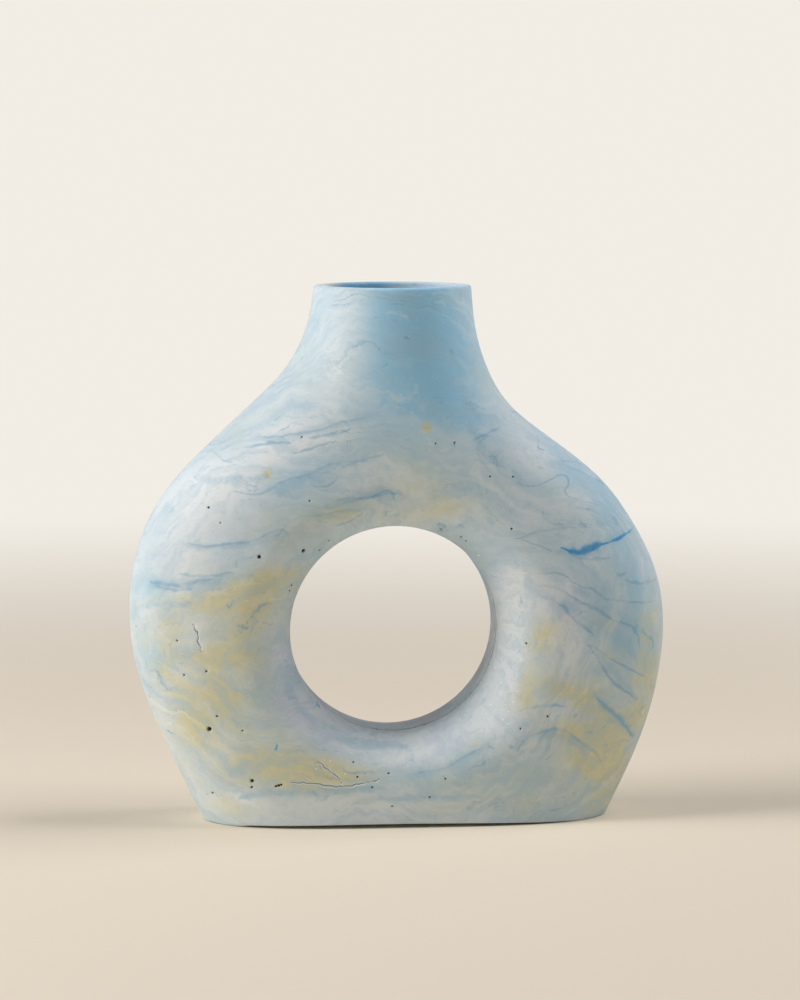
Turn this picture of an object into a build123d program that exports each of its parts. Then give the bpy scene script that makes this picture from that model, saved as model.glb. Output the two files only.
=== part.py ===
from build123d import *
import os

import numpy as np

# Donut vase: a flat, marbled bottle with a round hole through its body.
# It is cast as two hollow halves, front and back, which are bonded on the middle plane.
# A sealing film brushed over the inside of the bonded body lets it hold water.
# Millimetres. X runs along the width, Y from front to back and Z up. The origin is on the sole,
# midway between the widest points, on the middle plane.

# Height and depth
overall_height = 201.5
overall_depth = 59.0

# Reach of the body to each side of X = 0, in front view
# The body is uneven: its left shoulder is wider, and its right foot is longer.
neck_centre_x = -2.0
neck_diameter = 59.0
belly_height = 73.0
belly_left = 101.3
belly_right = 101.3
foot_left = 74.3
foot_right = 79.3

# From foot to belly: share of that height, then share of the growth in reach, left and right
lower_outline_shares = (
    (0.00, 0.000, 0.000),
    (0.19, 0.246, 0.311),
    (0.47, 0.595, 0.698),
    (0.77, 0.894, 0.940),
    (1.00, 1.000, 1.000),
)
# From belly to rim: share of that height, then share of the reach beyond the neck, left and right
upper_outline_shares = (
    (0.179, 0.981, 0.943),
    (0.319, 0.896, 0.816),
    (0.444, 0.742, 0.641),
    (0.545, 0.559, 0.420),
    (0.638, 0.376, 0.217),
    (0.739, 0.186, 0.098),
    (0.864, 0.053, 0.026),
    (1.000, 0.000, 0.000),
)
# Share of the overall height, then how square the plan is there: 2 is round, more is flatter in front
neck_base_share = 0.76
squareness_shares = ((0.00, 3.6), (0.35, 4.6), (0.62, 4.0), (neck_base_share, 2.6), (0.87, 2.0), (1.00, 2.0))

# Hole through the body
hole_diameter = 79.0
hole_centre_x = -2.1
hole_height = 72.0
hole_front_round = 20.0
hole_back_round = 12.0
mouth_room_share = 0.75

# Casting
wall = 5.2
floor_thickness = 7.0
lip_round = 0.9
sole_round = 0.6

# Bond between the halves
bond_gap = 0.3

# The front edge of the sole is rubbed away in a long shallow arc
relief_rise = 1.5
relief_left = 76.0
relief_right = 66.0
relief_reach = 10.0

# Sealing film inside, which stops below the rim
film = 0.5
film_fit = 0.05
film_stop = 8.0

# Cutting tools pass the faces that they cut by this much
overrun = 5.0

# Plan curves in a loft, and points along each
level_count = 16
point_count = 32

half_depth = overall_depth / 2
neck_radius = neck_diameter / 2
hole_radius = hole_diameter / 2
neck_base = neck_base_share * overall_height


def natural_curve(stations, values):
    """Return the natural cubic spline through the points, as a function of the station."""
    stations = np.asarray(stations, dtype=float)
    values = np.asarray(values, dtype=float)
    step = np.diff(stations)
    slope = np.diff(values) / step
    system = np.eye(len(stations))
    load = np.zeros(len(stations))
    for row in range(1, len(stations) - 1):
        system[row, row - 1 : row + 2] = step[row - 1], 2 * (step[row - 1] + step[row]), step[row]
        load[row] = 6 * (slope[row] - slope[row - 1])
    bend = np.linalg.solve(system, load)

    def curve(station):
        span = np.clip(np.searchsorted(stations, station, side="right") - 1, 0, len(step) - 1)
        size = step[span]
        before = station - stations[span]
        after = size - before
        start = values[span] * after + values[span + 1] * before
        start_bend = bend[span] * (after**3 - after * size**2)
        end_bend = bend[span + 1] * (before**3 - before * size**2)
        return (start + (start_bend + end_bend) / 6) / size

    return curve


def outline(side, foot, belly, neck):
    """Return the body's reach to one side, as a smooth function of the height."""
    above = overall_height - belly_height
    lower = [(row[0] * belly_height, foot + row[side] * (belly - foot)) for row in lower_outline_shares]
    upper = [(belly_height + row[0] * above, neck + row[side] * (belly - neck)) for row in upper_outline_shares]
    return natural_curve(*zip(*lower, *upper))


left_reach = outline(1, foot_left, belly_left, neck_radius - neck_centre_x)
right_reach = outline(2, foot_right, belly_right, neck_radius + neck_centre_x)
squareness = natural_curve(*zip(*squareness_shares))


def inset_reach(reach, height, inset):
    """Reach of a face that lies inside the outline by inset, measured square to the outline."""
    probe = overall_height / level_count**2
    lean = (reach(height + probe) - reach(height - probe)) / (2 * probe)
    return reach(height) - inset * np.sqrt(1 + lean**2)


def plan_wire(level, inset):
    """Closed plan curve at a level, drawn inside the body by inset.

    At each turn about the neck's centre, a point stands reach * sin(turn) to the side of that centre
    and half_depth * sqrt(1 - |sin(turn)|^n) off the middle plane, where n is the squareness.
    The curve starts behind the right shoulder, clear of the hole and of the middle plane.
    """
    height = min(level, overall_height)
    power = max(squareness(height / overall_height), 2)
    left = inset_reach(left_reach, height, inset) + neck_centre_x
    right = inset_reach(right_reach, height, inset) - neck_centre_x
    points = []
    for count in range(point_count):
        turn = np.radians(45 + 360 * count / point_count)
        reach = right if np.sin(turn) > 0 else left
        depth = (half_depth - inset) * np.sqrt(1 - min(abs(np.sin(turn)), 1) ** power)
        points.append(Vector(neck_centre_x + reach * np.sin(turn), np.copysign(depth, np.cos(turn)), level))
    return Wire([Edge.make_spline(points, periodic=True)])


def bottle(inset, bottom, top):
    """Solid bottle between two levels, lofted through plan curves inside the body by inset."""
    levels = np.linspace(bottom, top, level_count)
    return Solid.make_loft([plan_wire(level, inset) for level in levels])


def mouth_round(radius):
    """Rounding of a mouth of the hole, limited to its share of the narrowest wall round the hole."""
    under = hole_height
    over = neck_base - hole_height
    beside = min(belly_left + hole_centre_x, belly_right - hole_centre_x)
    return min(radius, mouth_room_share * (min(under, over, beside) - hole_radius))


def bored_bottle(inset, bottom, top):
    """Bottle with the hole through it, whose mouths are rounded in front and behind."""
    bore = Cylinder(hole_radius + inset, overall_depth + 2 * overrun, rotation=(90, 0, 0))
    body = bottle(inset, bottom, top) - Pos(hole_centre_x, 0, hole_height) * bore
    body = fillet(hole_mouths(body)[0], mouth_round(hole_front_round) - inset)
    return fillet(hole_mouths(body)[-1], mouth_round(hole_back_round) - inset)


def hole_mouths(body):
    """Edges of the round wall of the hole, from front to back."""
    return body.faces().filter_by(GeomType.CYLINDER)[0].edges().sort_by(Axis.Y)


def block(front, back, bottom, top):
    """Block that holds all of the body between two depths and two levels."""
    width = 2 * (max(belly_left, belly_right) + overrun)
    return Pos(0, (front + back) / 2, (bottom + top) / 2) * Box(width, back - front, top - bottom)


def relief_tool():
    """Wide cylinder along Y whose top rubs the front edge of the sole away in an arc."""
    chord = relief_left + relief_right
    radius = (chord**2 / 4 + relief_rise**2) / (2 * relief_rise)
    length = relief_reach + overrun
    centre_x = (relief_right - relief_left) / 2
    tool = Cylinder(radius, length, rotation=(90, 0, 0))
    return Pos(centre_x, relief_reach - half_depth - length / 2, relief_rise - radius) * tool


def hollow_vase():
    """The whole casting, before it is parted into halves."""
    body = bored_bottle(0, 0, overall_height)
    body = fillet(body.edges().sort_by(Axis.Z)[-1], lip_round)
    body = fillet(body.edges().sort_by(Axis.Z)[0], sole_round)
    body = body - relief_tool()
    return body - bored_bottle(wall, floor_thickness, overall_height + overrun)


def sealing_film():
    """Film on the inside of the casting, from the floor to below the rim."""
    outside = wall + film_fit
    inside = outside + film
    skin = bored_bottle(outside, floor_thickness + film_fit, overall_height + overrun)
    skin = skin - bored_bottle(inside, floor_thickness + film_fit + film, overall_height + 2 * overrun)
    return skin & block(-half_depth, half_depth, 0, overall_height - film_stop)


def bond(casting):
    """Adhesive layer: the casting's own cut on the middle plane, as thick as the gap."""
    cut = section(casting, section_by=Plane.XZ)
    return extrude(cut, bond_gap / 2, both=True)


os.makedirs("parts", exist_ok=True)
vase = hollow_vase()
behind = half_depth + overrun
above = overall_height + overrun
pieces = {
    "front_shell": vase & block(-behind, -bond_gap / 2, -overrun, above),
    "back_shell": vase & block(bond_gap / 2, behind, -overrun, above),
    "seam_bond": bond(vase),
    "sealing_film": sealing_film(),
}
for name, piece in pieces.items():
    piece.label = name
    export_step(piece, f"parts/{name}.step")
    print(name, len(piece.solids()), "solids", round(piece.volume), "mm3", piece.is_valid)
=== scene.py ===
import bmesh
import bpy
import mathutils
import numpy as np
from bpy.props import FloatProperty, PointerProperty, StringProperty
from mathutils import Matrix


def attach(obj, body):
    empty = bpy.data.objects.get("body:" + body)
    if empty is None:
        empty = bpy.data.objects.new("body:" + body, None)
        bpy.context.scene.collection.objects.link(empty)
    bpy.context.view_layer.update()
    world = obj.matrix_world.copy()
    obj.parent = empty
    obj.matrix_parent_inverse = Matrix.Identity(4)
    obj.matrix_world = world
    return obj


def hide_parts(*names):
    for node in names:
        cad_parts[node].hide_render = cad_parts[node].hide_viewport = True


bl_info = {
    "name": "Donut Vase",
    "version": (1, 0, 0),
    "blender": (4, 5, 0),
    "location": "3D View > Sidebar > Vase",
    "description": "Marbled casting in two halves, their bond, the sealing film and a plain studio",
    "category": "Object",
}

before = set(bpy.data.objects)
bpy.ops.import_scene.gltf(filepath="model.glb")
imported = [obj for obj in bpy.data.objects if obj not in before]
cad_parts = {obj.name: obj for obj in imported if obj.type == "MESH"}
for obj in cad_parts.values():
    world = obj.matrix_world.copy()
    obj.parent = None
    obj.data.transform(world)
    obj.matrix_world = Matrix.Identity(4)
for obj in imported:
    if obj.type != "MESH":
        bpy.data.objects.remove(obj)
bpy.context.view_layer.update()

# All shapes are worked out in millimetres, and turned to metres when they go into a mesh.
TO_METRES = 0.001


# Sizes and colours


def metres(name, default, description):
    """A length that a user may change."""
    return FloatProperty(name=name, description=description, default=default, unit="LENGTH")


def hex_colour(name, default, description):
    """A colour that a user may change, as an sRGB hex value."""
    return StringProperty(name=name, description=description, default=default)


class VaseSizes(bpy.types.PropertyGroup):
    """Sizes of the vase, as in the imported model"""

    overall_height: metres("Height", 0.2015, "From the sole to the rim")
    overall_depth: metres("Depth", 0.059, "From front to back")
    neck_centre: metres("Neck centre", -0.002, "Where the neck stands along X")
    neck_diameter: metres("Neck", 0.059, "Outside diameter of the neck")
    belly_height: metres("Belly height", 0.073, "Level at which the body is widest")
    belly_left: metres("Belly left", 0.1013, "Reach of the belly to the left")
    belly_right: metres("Belly right", 0.1013, "Reach of the belly to the right")
    foot_left: metres("Foot left", 0.0743, "Reach of the foot to the left")
    foot_right: metres("Foot right", 0.0793, "Reach of the foot to the right")
    hole_diameter: metres("Hole", 0.079, "Diameter of the hole")
    hole_centre: metres("Hole centre", -0.0021, "Where the hole stands along X")
    hole_height: metres("Hole height", 0.072, "Height of the hole's centre")
    hole_front_round: metres("Front rounding", 0.020, "Rounding of the hole's front mouth")
    hole_back_round: metres("Back rounding", 0.012, "Rounding of the hole's back mouth")
    wall: metres("Wall", 0.0052, "Thickness of the casting")
    floor_thickness: metres("Floor", 0.007, "Thickness of the casting's floor")
    lip_round: metres("Lip rounding", 0.0009, "Rounding of the rim's two edges")
    sole_round: metres("Sole rounding", 0.0006, "Rounding of the sole's edge")
    bond_gap: metres("Bond", 0.0003, "Thickness of the bond between the halves")
    wear_rise: metres("Sole wear", 0.0015, "Height worn off the front edge of the sole")


class VaseColours(bpy.types.PropertyGroup):
    """Colours of the marbled casting and of the studio, as sRGB hex values"""

    body: hex_colour("Body", "D5E1E7", "Pale plaster of the body")
    # Milk is partly painted light. It is laid paler on faces turned to the lamps, and low in the hole.
    milk: hex_colour("Milk", "E9F0F2", "Palest plaster, almost white")
    veil: hex_colour("Veil", "B4CFDD", "Pale blue veils")
    wisp: hex_colour("Wisp", "A7C6D8", "Blue wisps that run with the pour")
    sky: hex_colour("Sky", "99D0ED", "Clear light blue of the neck")
    grey: hex_colour("Grey green", "C0D0C9", "Grey green clouds")
    # Low in the hole, lilac is laid on as painted light.
    lilac: hex_colour("Lilac", "D9D9E9", "Lilac round the hole")
    straw: hex_colour("Straw", "DAD6AE", "Straw yellow patches")
    # Rose is a painted reflection: warm bounce light low on the hole's wall.
    rose_reflection: hex_colour("Rose", "D8C3C4", "Faint rose low in the hole")
    amber: hex_colour("Amber", "D9C666", "Spots of undissolved ochre")
    deep: hex_colour("Deep blue", "66B2DC", "Deeper blue of the neck and inside the mouth")
    line: hex_colour("Line", "86B3CC", "Fine blue contour lines")
    wash: hex_colour("Wash", "9BC1D4", "Soft blue washes beside the strokes")
    vein: hex_colour("Vein", "74ABCB", "Blue veins right of the hole")
    blue: hex_colour("Blue", "45A0D4", "Strokes of undiluted blue")
    core: hex_colour("Stroke core", "2F78B8", "Dark middle of the thick blue strokes")
    fleck: hex_colour("Fleck", "FAFBFB", "Flecks of undissolved powder")
    groove: hex_colour("Groove", "7E8180", "Grooves of the cast flaw")
    pinhole: hex_colour("Pinhole", "1E2124", "Shade inside a pinhole")
    bond: hex_colour("Bond", "B9B6AE", "Grey adhesive")
    floor: hex_colour("Floor", "EBDFCB", "Pale warm floor")
    backdrop: hex_colour("Backdrop", "F2EDE4", "Pale backdrop")
    fill: hex_colour("Fill light", "EAF2FF", "Faint cool light from all round")


# Form


def natural_curve(stations, values):
    """Return the natural cubic spline through the points, as a function of the station.

    The second derivatives come from the usual three-term equations, with none at either end.
    """
    stations = np.asarray(stations, dtype=float)
    values = np.asarray(values, dtype=float)
    step = np.diff(stations)
    slope = np.diff(values) / step
    system = np.eye(len(stations))
    load = np.zeros(len(stations))
    inner = np.arange(1, len(stations) - 1)
    system[inner, inner - 1] = step[:-1]
    system[inner, inner] = 2 * (step[:-1] + step[1:])
    system[inner, inner + 1] = step[1:]
    load[inner] = 6 * np.diff(slope)
    bend = np.linalg.solve(system, load)

    def curve(station):
        station = np.asarray(station, dtype=float)
        span = np.clip(np.searchsorted(stations, station, side="right") - 1, 0, len(step) - 1)
        size = step[span]
        before = station - stations[span]
        after = size - before
        start = values[span] * after + values[span + 1] * before
        start_bend = bend[span] * (after**3 - after * size**2)
        end_bend = bend[span + 1] * (before**3 - before * size**2)
        return (start + (start_bend + end_bend) / 6) / size

    return curve


# Outline from foot to belly: share of that height, then share of the growth in reach, left and right
LOWER_OUTLINE = np.array(
    [(0.00, 0, 0), (0.19, 0.246, 0.311), (0.47, 0.595, 0.698), (0.77, 0.894, 0.940), (1.00, 1, 1)]
)
# Outline from belly to rim: share of that height, then share of the reach beyond the neck, left and right
UPPER_OUTLINE = np.array(
    [
        (0.179, 0.981, 0.943), (0.319, 0.896, 0.816), (0.444, 0.742, 0.641), (0.545, 0.559, 0.420),
        (0.638, 0.376, 0.217), (0.739, 0.186, 0.098), (0.864, 0.053, 0.026), (1.00, 0, 0),
    ]
)
# Share of the height, then how square the plan is there: 2 is round
SQUARENESS = np.array([(0.00, 3.6), (0.35, 4.6), (0.62, 4.0), (0.76, 2.6), (0.87, 2.0), (1.00, 2.0)])
# Slopes are measured over this much to each side: of the outline, and of the face
OUTLINE_PROBE = 0.8
FACE_PROBE = 0.2


class Form:
    """The vase's form in millimetres: its outline in front view, and its plan at any level."""

    def __init__(self, sizes):
        for name in type(sizes).__annotations__:
            setattr(self, name, getattr(sizes, name) / TO_METRES)
        self.half_depth = self.overall_depth / 2
        self.hole_radius = self.hole_diameter / 2
        neck = self.neck_diameter / 2
        self.left_reach = self.outline(1, self.foot_left, self.belly_left, neck - self.neck_centre)
        self.right_reach = self.outline(2, self.foot_right, self.belly_right, neck + self.neck_centre)
        self.squareness = natural_curve(*SQUARENESS.T)

    def outline(self, side, foot, belly, neck):
        """Reach of the body to one side, as a natural spline over the height."""
        above = self.overall_height - self.belly_height
        lower_heights = LOWER_OUTLINE[:, 0] * self.belly_height
        upper_heights = self.belly_height + UPPER_OUTLINE[:, 0] * above
        lower = foot + LOWER_OUTLINE[:, side] * (belly - foot)
        upper = neck + UPPER_OUTLINE[:, side] * (belly - neck)
        return natural_curve(np.r_[lower_heights, upper_heights], np.r_[lower, upper])

    def reach(self, right, z, inset):
        """Reach from the neck's centre to a side, less the inset measured square to the outline."""

        def inner(side_reach):
            slope = (side_reach(z + OUTLINE_PROBE) - side_reach(z - OUTLINE_PROBE)) / (2 * OUTLINE_PROBE)
            return side_reach(z) - inset * np.sqrt(1 + slope**2)

        left, right_side = inner(self.left_reach), inner(self.right_reach)
        return np.where(right, right_side - self.neck_centre, left + self.neck_centre)

    def off_middle(self, share, z, inset):
        """Distance from the middle plane at a share of the reach: half depth times sqrt(1 - share^n).

        The power n is the squareness at that level, 2 or more.
        """
        power = np.maximum(self.squareness(z / self.overall_height), 2)
        return (self.half_depth - inset) * np.sqrt(np.clip(1 - share**power, 0, 1))

    def depth(self, x, z, inset):
        """Distance of the face from the middle plane, at a place in front view."""
        share = np.abs(x - self.neck_centre) / self.reach(x > self.neck_centre, z, inset)
        return self.off_middle(np.minimum(share, 1), z, inset)

    def plan(self, turn, z, inset):
        """X and depth of the plan curve at a turn about the neck's centre, zero to the front."""
        reach = self.reach(np.sin(turn) > 0, z, inset)
        return self.neck_centre + reach * np.sin(turn), self.off_middle(np.abs(np.sin(turn)), z, inset)

    def from_hole(self, x, z):
        """Distance from the hole's axis."""
        return np.hypot(x - self.hole_centre, z - self.hole_height)


# Grids

# Each step of the base grid holds this many fine steps each way, where small marks need them.
FINE = 4
# Steps of the base grid round a half: along the rim, down each side and along the foot
RIM_STEPS = 52
SIDE_STEPS = 116
FOOT_STEPS = 96
# Base rows of a half's wall: hole wall, rounding and face outside, and the same three inside, then the
# rim's or foot's edge, the wall's thickness and the floor
OUTER_ROWS = (8, 24, 50)
INNER_ROWS = (2, 6, 12)
EDGE_ROWS = 9
ACROSS_ROWS = 2
FLOOR_ROWS = 3
# Points at which an outline's length is measured
OUTLINE_POINTS = 1500
# Rounds in which a ball finds where it rests against the face
CONTACT_ROUNDS = 12
# Power by which the rows of the hole's wall crowd towards the seam
SEAM_CROWD = 1.7
# The sole's wear dies away over this much of its depth, and up the face over this height.
WEAR_RUN_OUT = 3
WEAR_HEIGHT = 12


class Columns:
    """Columns of a grid round one half, in front view, clockwise from the rim's left corner.

    Rim and foot columns follow the plan curve at even turns, side columns the outline at even lengths.
    Each column leaves the hole at an angle that is the mean of its even share of the circle and of the
    direction of its end, so that columns neither crowd nor cross.
    """

    def __init__(self, form, steps):
        self.form = form
        self.steps = steps
        rim, side, foot = RIM_STEPS * steps, SIDE_STEPS * steps, FOOT_STEPS * steps
        self.count = rim + 2 * side + foot
        self.rim_turn = np.radians(np.linspace(-90, 90, rim + 1))[:-1]
        self.foot_turn = np.radians(np.linspace(90, -90, foot + 1))[:-1]
        self.side_share = np.arange(side) / side
        index = np.arange(self.count)
        self.on_rim = index <= rim
        self.on_foot = (index >= rim + side) & (index <= rim + side + foot)
        self.turn = np.zeros(self.count)
        self.turn[:rim] = self.rim_turn
        self.turn[rim] = np.radians(90)
        self.turn[rim + side : rim + side + foot] = self.foot_turn
        self.turn[rim + side + foot] = np.radians(-90)
        self.angle = self.leave(2 * np.pi * (index - rim / 2) / self.count)

    def boundary(self, inset, bottom, top):
        """X, Z and depth of every column's end, for a face inside the vase by an inset."""
        form = self.form
        levels = np.linspace(bottom, top, OUTLINE_POINTS)

        def level_run(turn, level):
            x, depth = form.plan(turn, level, inset)
            return x, np.full_like(x, level), depth

        def side_run(right):
            reach = form.reach(right, levels, inset)
            length = np.r_[0, np.cumsum(np.hypot(np.diff(reach), np.diff(levels)))]
            share = 1 - self.side_share if right else self.side_share
            z = np.interp(share * length[-1], length, levels)
            return form.neck_centre + (1 if right else -1) * form.reach(right, z, inset), z, 0 * z

        runs = [level_run(self.rim_turn, top), side_run(True)]
        runs += [level_run(self.foot_turn, bottom), side_run(False)]
        return tuple(np.concatenate(part) for part in zip(*runs))

    def leave(self, even):
        """Angle at which each column leaves the hole, from the vertical, clockwise."""
        form = self.form
        x, z, _ = self.boundary(0, 0, form.overall_height)
        outer = np.unwrap(np.arctan2(x - form.hole_centre, z - form.hole_height))
        outer -= 2 * np.pi * np.round((outer[0] - even[0]) / (2 * np.pi))
        return (outer + even) / 2

    def contact(self, inset, rounding):
        """Where the rounding of the hole's mouth meets the face, along each column's angle.

        A ball as large as the rounding rolls against the hole's wall and the face. Its centre stands a
        radius off the wall, and its depth follows from the slope of the face where it touches.
        """
        form = self.form
        wall = form.hole_radius + inset
        east, north = np.sin(self.angle), np.cos(self.angle)

        def face(distance):
            return form.depth(form.hole_centre + distance * east, form.hole_height + distance * north, inset)

        distance = np.full(self.count, wall + rounding)
        for _ in range(CONTACT_ROUNDS):
            drop = face(distance + FACE_PROBE) - face(distance - FACE_PROBE)
            lean = np.arctan(-drop / (2 * FACE_PROBE))
            distance = wall + rounding * (1 + np.sin(lean))
        return distance, face(distance) - rounding * np.cos(lean), lean

    def half_face(self, inset, rounding, bottom, top, rows):
        """Face of one half from the hole's seam out to its boundary: hole wall, rounding, then face.

        Up the wall the rows stand at powers of even shares, which crowd them towards the seam. Round the
        mouth they take even angles. Over the face they run straight to the boundary in front view, at
        even shares, or at the sines of even angles where the boundary lies on the middle plane.
        """
        form = self.form
        seam = form.bond_gap / 2
        wall_rows, round_rows, face_rows = (count * self.steps for count in rows)
        radius = form.hole_radius + inset
        east, north = np.sin(self.angle)[:, None], np.cos(self.angle)[:, None]
        distance, centre_depth, lean = (part[:, None] for part in self.contact(inset, rounding))

        share = np.linspace(0, 1, wall_rows + 1)[None, :-1] ** SEAM_CROWD
        off_axis = np.broadcast_to(radius, (self.count, wall_rows))
        depth = seam + (centre_depth - seam) * share

        swing = np.linspace(0, 1, round_rows + 1)[None, :-1] * (np.pi / 2 + lean)
        off_axis = np.concatenate([off_axis, radius + rounding * (1 - np.cos(swing))], axis=1)
        depth = np.concatenate([depth, centre_depth + rounding * np.sin(swing)], axis=1)
        x = form.hole_centre + off_axis * east
        z = form.hole_height + off_axis * north
        mouth = np.stack([x, depth, z], axis=2)

        end_x, end_z, end_depth = (part[:, None] for part in self.boundary(inset, bottom, top))
        start_x = form.hole_centre + distance * east
        start_z = form.hole_height + distance * north
        even = np.linspace(0, 1, face_rows + 1)[None, :]
        crowd = (1 - (end_depth / form.half_depth) ** 2) ** 2
        share = (1 - crowd) * even + crowd * np.sin(np.pi / 2 * even)
        face_x = start_x + (end_x - start_x) * share
        face_z = start_z + (end_z - start_z) * share
        face_depth = np.maximum(form.depth(face_x, face_z, inset), seam)
        face_depth[:, -1:] = np.maximum(end_depth, seam)
        face = np.stack([face_x, face_depth, face_z], axis=2)
        return np.concatenate([mouth, face], axis=1)

    def rim_edge(self):
        """Over the rim at each turn: a quarter circle, its flat, and a quarter circle down inside."""
        form = self.form
        lip = form.lip_round
        part = np.linspace(0, 3, EDGE_ROWS * self.steps + 1)[None, :]
        first = np.pi / 2 * np.clip(part, 0, 1)
        last = np.pi / 2 * np.clip(part - 2, 0, 1)
        flat = np.clip(part - 1, 0, 1)
        inset = lip * (1 - np.cos(first)) + flat * (form.wall - 2 * lip) + lip * np.sin(last)
        z = form.overall_height - lip * (1 - np.sin(first)) - lip * (1 - np.cos(last))
        x, depth = form.plan(self.turn[:, None], z, inset)
        return np.stack([x, np.maximum(depth, form.bond_gap / 2), np.broadcast_to(z, x.shape)], axis=2)

    def foot_edge(self, rise):
        """Under the foot at each turn: a quarter circle, then straight back to the seam.

        Where the front edge is worn, the sole stands off the ground by the wear there.
        """
        form = self.form
        seam = form.bond_gap / 2
        edge = form.sole_round
        part = np.linspace(0, 3, EDGE_ROWS * self.steps + 1)[None, :]
        first = np.pi / 2 * np.clip(part, 0, 1)
        back = np.clip((part - 1) / 2, 0, 1)
        x, depth = form.plan(self.turn[:, None], edge * (1 - np.sin(first)), edge * (1 - np.cos(first)))
        x = np.where(part > 1, form.plan(self.turn[:, None], 0, edge)[0], x)
        depth = np.maximum(depth, seam)
        depth = depth + (seam - depth) * back
        z = edge * (1 - np.sin(first)) + rise(x, depth)
        return np.stack([x, depth, z], axis=2)

    def wall_loop(self, rounding, rise):
        """Section of one half's wall at every column, once round, and how many rows its outer face has.

        It goes over the outer face, rim or foot edge, seam face, floor, inner face, and the seam face at
        the hole. Unused stretches shrink to a point.
        """
        form = self.form
        lip_level = form.overall_height - form.lip_round
        outer = self.half_face(0, rounding, form.sole_round, lip_level, OUTER_ROWS)
        worn = rise(outer[:, -1, 0], outer[:, -1, 1]) * self.on_foot
        near_end = np.clip(1 - outer[:, :, 2] / WEAR_HEIGHT, 0, 1) ** 2
        outer[:, :, 2] += near_end * worn[:, None]
        inner = self.half_face(form.wall, rounding - form.wall, form.floor_thickness, lip_level, INNER_ROWS)
        edge = np.repeat(outer[:, -1:], EDGE_ROWS * self.steps + 1, axis=1)
        edge = np.where(self.on_rim[:, None, None], self.rim_edge(), edge)
        edge = np.where(self.on_foot[:, None, None], self.foot_edge(rise), edge)
        inner_end = inner[:, -1]
        across_end = inner_end.copy()
        across_end[self.on_foot, 1] = form.bond_gap / 2
        across = self.straight(edge[:, -1], across_end, ACROSS_ROWS)
        floor = self.straight(across_end, inner_end, FLOOR_ROWS)
        hole_seam = self.straight(inner[:, 0], outer[:, 0], ACROSS_ROWS)
        parts = [outer, edge[:, 1:], across[:, 1:], floor[:, 1:], inner[:, -2::-1], hole_seam[:, 1:-1]]
        return np.concatenate(parts, axis=1), outer.shape[1]

    def straight(self, start, end, rows):
        """Straight run of rows between two points of every column."""
        share = np.linspace(0, 1, rows * self.steps + 1)[None, :, None]
        return start[:, None] * (1 - share) + end[:, None] * share


def grid_normals(points):
    """Unit normals of a grid that closes both ways: the cross product of its central differences."""
    across = np.roll(points, -1, axis=0) - np.roll(points, 1, axis=0)
    along = np.roll(points, -1, axis=1) - np.roll(points, 1, axis=1)
    normal = np.cross(across, along)
    return normal / np.maximum(np.linalg.norm(normal, axis=2, keepdims=True), 1e-12)


def refined_faces(flagged):
    """Corner keys of the faces of a closed grid whose flagged steps are split into fine steps.

    A split step gives FINE by FINE quads. A whole step gives one face, which also takes in the fine
    points on each side that it shares with a split step, so that no crack opens. Keys count fine
    points, and each row of the answer is padded with -1.
    """
    columns, rows = flagged.shape
    fine_columns, fine_rows = columns * FINE, rows * FINE

    def key(column, row):
        return (column % fine_columns) * fine_rows + row % fine_rows

    i, j = np.nonzero(flagged)
    a, b = np.meshgrid(np.arange(FINE), np.arange(FINE), indexing="ij")
    column = (i[:, None] * FINE + a.ravel()).ravel()
    row = (j[:, None] * FINE + b.ravel()).ravel()
    corners = (key(column, row), key(column + 1, row), key(column + 1, row + 1), key(column, row + 1))
    small = np.stack(corners, axis=1)

    i, j = np.nonzero(~flagged)
    step = np.arange(FINE)
    around_column = np.r_[step, np.full(FINE, FINE), FINE - step, np.zeros(FINE, int)]
    around_row = np.r_[np.zeros(FINE, int), step, np.full(FINE, FINE), FINE - step]
    whole = key(i[:, None] * FINE + around_column, j[:, None] * FINE + around_row)
    beside = [
        flagged[i, (j - 1) % rows],
        flagged[(i + 1) % columns, j],
        flagged[i, (j + 1) % rows],
        flagged[(i - 1) % columns, j],
    ]
    used = np.repeat(np.stack(beside, axis=1), FINE, axis=1)
    used[:, ::FINE] = True
    whole = np.where(used, whole, -1)
    padded = np.full((len(small), whole.shape[1]), -1)
    padded[:, :4] = small
    return np.concatenate([padded, whole])


def turned_over(faces):
    """The same padded faces with their corners the other way round."""
    sizes = (faces >= 0).sum(axis=1)
    packed = np.argsort(faces < 0, axis=1, kind="stable")
    faces = np.take_along_axis(faces, packed, axis=1)
    index = np.arange(faces.shape[1])[None]
    back = np.where(index < sizes[:, None], sizes[:, None] - 1 - index, index)
    return np.take_along_axis(faces, back, axis=1)


# Points closer than the first number are merged, and edges shorter than the second are taken out.
MERGE_DISTANCE = 0.002
DEGENERATE_LENGTH = 0.001
# Edges that turn by more than this many degrees are shaded sharp
SHARP_ANGLE = 38


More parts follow.
